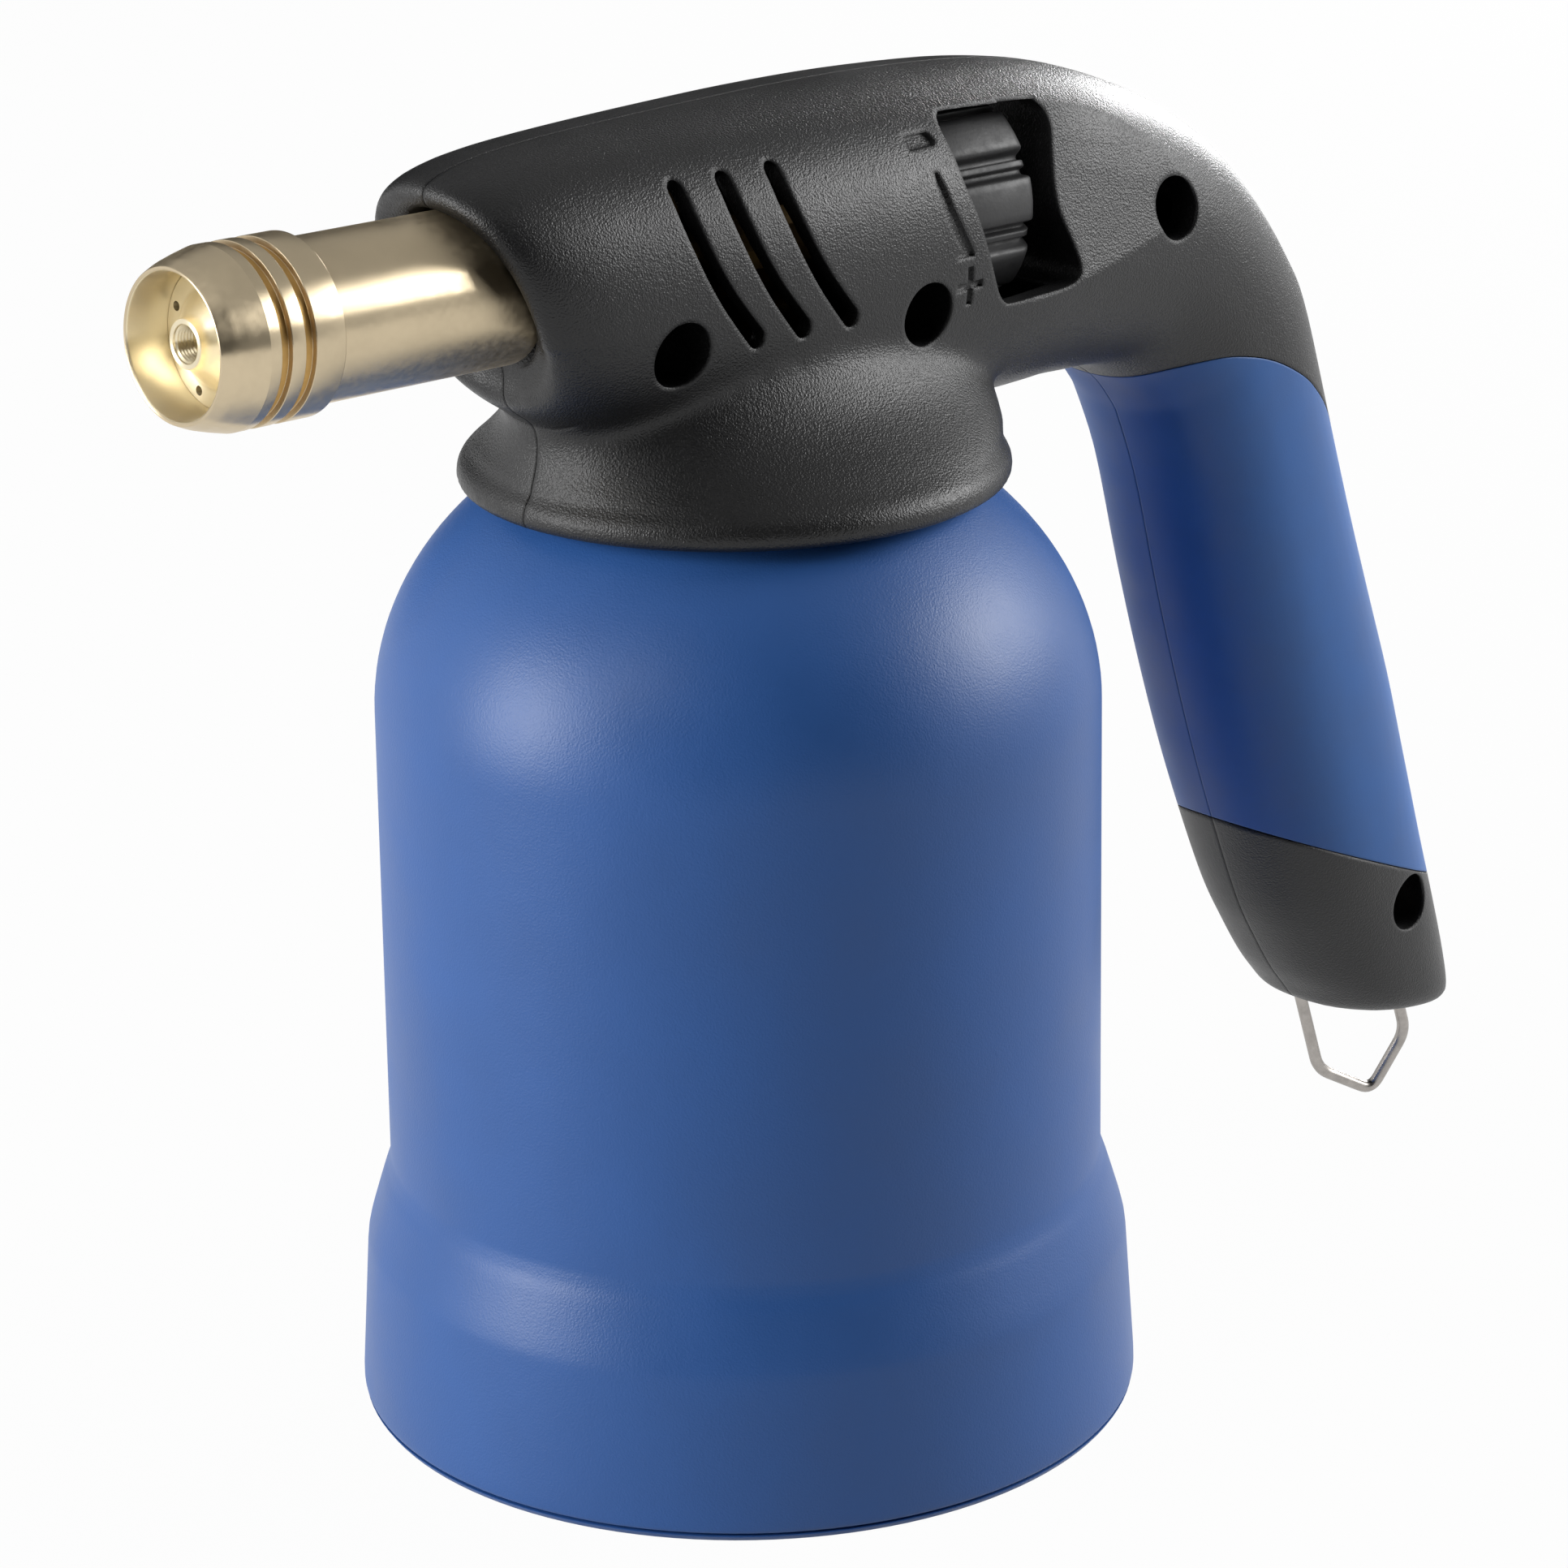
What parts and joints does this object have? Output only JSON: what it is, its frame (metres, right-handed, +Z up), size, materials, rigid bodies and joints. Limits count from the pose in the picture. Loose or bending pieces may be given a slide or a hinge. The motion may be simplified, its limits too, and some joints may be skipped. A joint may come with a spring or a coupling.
{
  "type": "gas blowlamp",
  "caption": "Hand blowlamp on a bell-shaped cartridge housing, with a brass burner, a fluted regulator knob, a raked pistol handle and a screwed base cap.",
  "frame": {"origin": "centre of the base cap's underside, on the bell's axis and on the surface that the lamp stands on", "axes": "+Z up along the bell's axis, -X along the burner towards its nozzle, +X towards the handle, the shell's parting plane at Y = 0"},
  "size_m": [0.2246, 0.104, 0.1749],
  "materials": {
    "blue_paint": "satin enamel",
    "black_plastic": "fine grained",
    "blue_plastic": "fine grained",
    "blue_soft_grip": "soft matt",
    "brass": "nickel-tinted satin",
    "steel": "zinc plated",
    "can_paint": "plain lacquer",
    "rubber": "matt"
  },
  "bodies": {
    "torch": {"cartridge_housing": "blue_paint", "cartridge_gasket": "rubber", "piercing_needle": "steel", "piercing_socket": "brass", "lock_nut": "steel", "valve_body": "brass", "packing_nut": "brass", "spindle_seal": "rubber", "gas_jet": "brass", "mixing_pipe": "brass", "burner_tube": "brass", "burner_head": "brass", "flame_holder": "brass", "housing_left": "black_plastic", "housing_right": "black_plastic", "grip_left": "blue_soft_grip", "grip_right": "blue_soft_grip", "housing_screw_1": "steel", "housing_screw_2": "steel", "housing_screw_3": "steel", "housing_screw_4": "steel"},
    "knob": {"regulator_knob": "black_plastic"},
    "spindle": {"valve_spindle": "steel"},
    "cartridge": {"gas_cartridge": "can_paint"},
    "cap": {"base_cap": "blue_plastic"},
    "hook": {"hanging_hook": "steel"}
  },
  "joints": [
    {"name": "regulator_turn", "type": "hinge", "parent": "torch", "child": "knob", "pos_m": [0, 0, 0.1565], "axis": [0.9997, 0, -0.0262], "range_deg": [0, 540]},
    {"name": "spindle_rise", "type": "slide", "parent": "knob", "child": "spindle", "axis": [0.9997, 0, -0.0262], "range_m": [0, 0.0012]},
    {"name": "cartridge_travel", "type": "slide", "parent": "torch", "child": "cartridge", "axis": [0, 0, -1], "range_m": [0, 0.009]},
    {"name": "cap_turn", "type": "hinge", "parent": "cartridge", "child": "cap", "pos_m": [0, 0, 0], "axis": [0, 0, -1], "range_deg": [0, 1080]},
    {"name": "hook_swivel", "type": "hinge", "parent": "torch", "child": "hook", "pos_m": [0.12579, 0, 0.00937], "axis": [0.3173, 0, -0.9483], "continuous": true}
  ],
  "couplings": [
    {"joint": "spindle_rise", "follows": "regulator_turn", "m_per_rad": 0.00012732},
    {"joint": "cartridge_travel", "follows": "cap_turn", "m_per_rad": 0.00047746}
  ]
}
